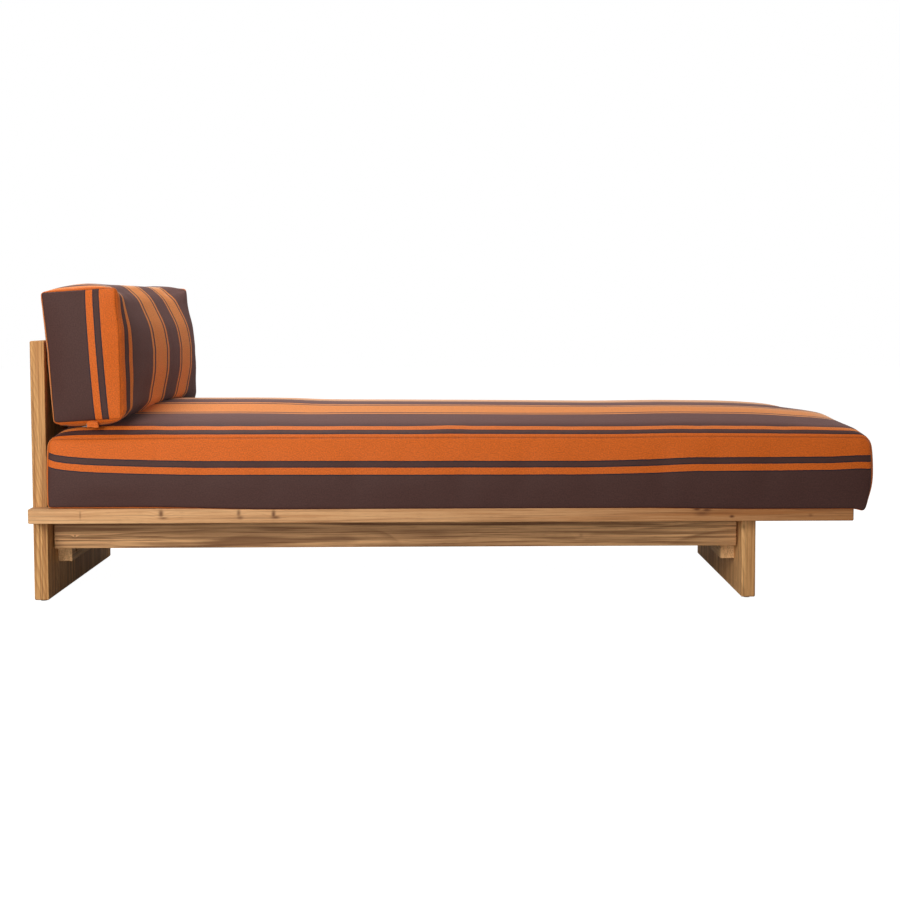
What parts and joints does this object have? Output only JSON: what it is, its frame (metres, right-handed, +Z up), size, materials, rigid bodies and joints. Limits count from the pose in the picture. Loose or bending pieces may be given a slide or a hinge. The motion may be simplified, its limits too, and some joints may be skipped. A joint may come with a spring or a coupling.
{
  "type": "daybed",
  "caption": "Low teak daybed with a slatted deck between two slab leg panels, a crowned striped mattress and a leaning bolster.",
  "frame": {"origin": "on the floor, at the centre of the bounding box seen from above", "axes": "+X runs from the head panel to the foot end, +Z is up, and the long side seen in the picture faces -Y"},
  "size_m": [2.047, 0.85, 0.7772],
  "materials": {
    "teak": "fine-grained honey teak, sanded, with a thin coat of oil, small knots and checks",
    "beam_teak": "the same teak in its browner boards, sanded and oiled",
    "birch": "plain pale dowel wood, fluted by hand",
    "steel": "bright zinc-coloured steel, satin",
    "brass": "turned brass, satin",
    "glide_plastic": "dark grey moulded plastic, matt",
    "striped_cloth": "plain-woven outdoor cloth in orange and dark brown stripes with thin navy edge lines, matt, with plain sewn seams"
  },
  "bodies": {
    "frame": {"head_panel": "teak", "foot_panel": "teak", "side_rail_front": "teak", "side_rail_back": "teak", "foot_end_rail": "teak", "ledger_front": "teak", "ledger_back": "teak", "slat_bearer_front": "teak", "slat_bearer_back": "teak", "slat_01": "teak", "slat_02": "teak", "slat_03": "teak", "slat_04": "teak", "slat_05": "teak", "slat_06": "teak", "slat_07": "teak", "slat_08": "teak", "slat_09": "teak", "slat_10": "teak", "slat_11": "teak", "slat_12": "teak", "slat_13": "teak", "slat_14": "teak", "beam_front": "beam_teak", "beam_back": "beam_teak", "head_cleat": "beam_teak", "foot_cleat": "beam_teak", "dowel_head_front_lower": "birch", "dowel_head_front_upper": "birch", "dowel_head_back_lower": "birch", "dowel_head_back_upper": "birch", "dowel_foot_front_inner": "birch", "dowel_foot_front_outer": "birch", "dowel_foot_back_inner": "birch", "dowel_foot_back_outer": "birch", "bolt_head_front": "steel", "bolt_head_back": "steel", "bolt_foot_front": "steel", "bolt_foot_back": "steel", "washer_head_front": "steel", "washer_head_back": "steel", "washer_foot_front": "steel", "washer_foot_back": "steel", "insert_head_front": "brass", "insert_head_back": "brass", "insert_foot_front": "brass", "insert_foot_back": "brass", "glide_head_front": "glide_plastic", "glide_head_back": "glide_plastic", "glide_foot_front": "glide_plastic", "glide_foot_back": "glide_plastic"},
    "mattress": {"mattress": "striped_cloth"},
    "bolster": {"bolster": "striped_cloth"},
    "zip_slider": {"zip_slider": "steel"}
  },
  "joints": [
    {"name": "mattress_lift", "type": "slide", "parent": "frame", "child": "mattress", "axis": [0, 0, 1], "range_m": [0, 0.4]},
    {"name": "bolster_lift", "type": "slide", "parent": "mattress", "child": "bolster", "axis": [0, 0, 1], "range_m": [0, 0.4]},
    {"name": "zip_travel", "type": "slide", "parent": "bolster", "child": "zip_slider", "axis": [-0.9969, 0.047, -0.0628], "range_m": [0, 0.05]}
  ]
}
